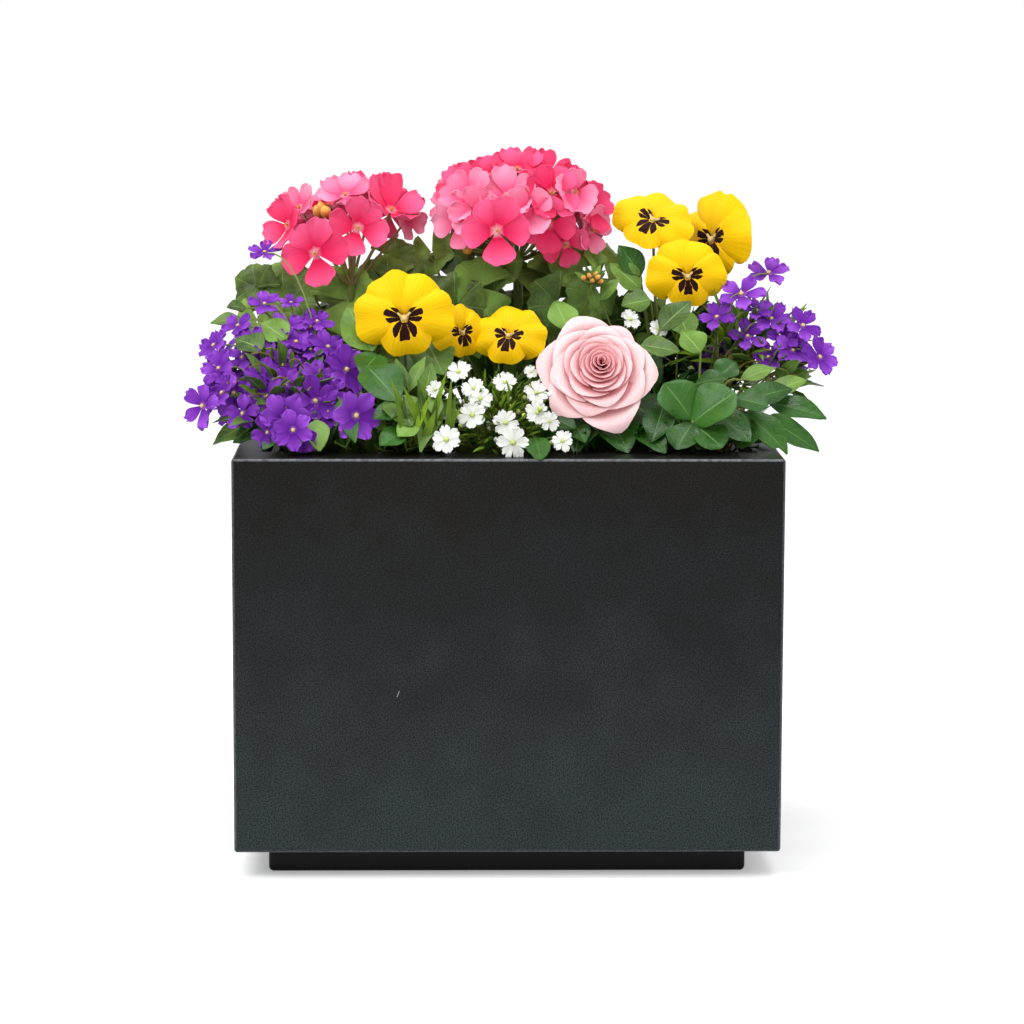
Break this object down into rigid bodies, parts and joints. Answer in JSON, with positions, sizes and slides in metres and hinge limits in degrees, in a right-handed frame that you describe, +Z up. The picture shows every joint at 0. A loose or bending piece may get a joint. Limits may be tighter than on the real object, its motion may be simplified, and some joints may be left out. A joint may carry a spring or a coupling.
{
  "type": "planter box",
  "caption": "Rectangular sheet-metal planter box on a recessed plinth, with a lift-out liner full of soil and mixed flowering plants.",
  "frame": {"origin": "on the floor at the middle of the plinth's underside", "axes": "+Z up, +X along the box's length to the right seen from the front, -Y out of the front panel"},
  "size_m": [0.5, 0.312, 0.524],
  "materials": {
    "powder_coat": "fine satin powder coat, charcoal",
    "zinc_sheet": "dull galvanised sheet",
    "zinc_fastener": "bright zinc plate",
    "foot_plastic": "matte black nylon",
    "liner_plastic": "matte black moulded plastic",
    "trim_rubber": "soft matte black",
    "tray_plastic": "matte recycled plastic",
    "fleece": "needled white-grey fleece",
    "soil": "damp crumbly compost of bark and wood fibre",
    "geranium": "soft petals over green foliage",
    "pansy": "velvety petals over green foliage",
    "aubrieta": "small soft petals over green foliage",
    "alyssum": "small soft petals over green foliage",
    "rose": "layered soft petals",
    "foliage": "satin leaves"
  },
  "bodies": {
    "planter": {"front_panel": "powder_coat", "rear_panel": "powder_coat", "left_end_panel": "powder_coat", "right_end_panel": "powder_coat", "corner_angle_front_left": "powder_coat", "corner_angle_front_right": "powder_coat", "corner_angle_rear_left": "powder_coat", "corner_angle_rear_right": "powder_coat", "corner_studs": "zinc_fastener", "corner_nuts": "zinc_fastener", "base_plate": "zinc_sheet", "plinth_frame": "powder_coat", "plinth_bolts": "zinc_fastener", "plinth_washers": "zinc_fastener", "plinth_nuts": "zinc_fastener", "liner_bearer_left": "zinc_sheet", "liner_bearer_right": "zinc_sheet", "bearer_rivets": "zinc_fastener", "foot_nuts": "zinc_fastener"},
    "levelling_foot_front_left": {"foot_pad_front_left": "foot_plastic", "foot_screw_front_left": "zinc_fastener"},
    "levelling_foot_front_right": {"foot_pad_front_right": "foot_plastic", "foot_screw_front_right": "zinc_fastener"},
    "levelling_foot_rear_left": {"foot_pad_rear_left": "foot_plastic", "foot_screw_rear_left": "zinc_fastener"},
    "levelling_foot_rear_right": {"foot_pad_rear_right": "foot_plastic", "foot_screw_rear_right": "zinc_fastener"},
    "planting_insert": {"liner": "liner_plastic", "grip_trim_left": "trim_rubber", "grip_trim_right": "trim_rubber", "drainage_tray": "tray_plastic", "filter_fleece": "fleece", "potting_soil": "soil", "geranium_left": "geranium", "geranium_centre": "geranium", "pansy_right": "pansy", "aubrieta_left": "aubrieta", "pansy_left": "pansy", "alyssum_white": "alyssum", "pansy_centre": "pansy", "rose": "rose", "periwinkle_right": "foliage", "aubrieta_right": "aubrieta"}
  },
  "joints": [
    {"name": "insert_lift", "type": "slide", "parent": "planter", "child": "planting_insert", "axis": [0, 0, 1], "range_m": [0, 0.28]},
    {"name": "foot_screw_front_left_travel", "type": "slide", "parent": "planter", "child": "levelling_foot_front_left", "axis": [0, 0, -1], "range_m": [0, 0.012]},
    {"name": "foot_screw_front_right_travel", "type": "slide", "parent": "planter", "child": "levelling_foot_front_right", "axis": [0, 0, -1], "range_m": [0, 0.012]},
    {"name": "foot_screw_rear_left_travel", "type": "slide", "parent": "planter", "child": "levelling_foot_rear_left", "axis": [0, 0, -1], "range_m": [0, 0.012]},
    {"name": "foot_screw_rear_right_travel", "type": "slide", "parent": "planter", "child": "levelling_foot_rear_right", "axis": [0, 0, -1], "range_m": [0, 0.012]}
  ]
}
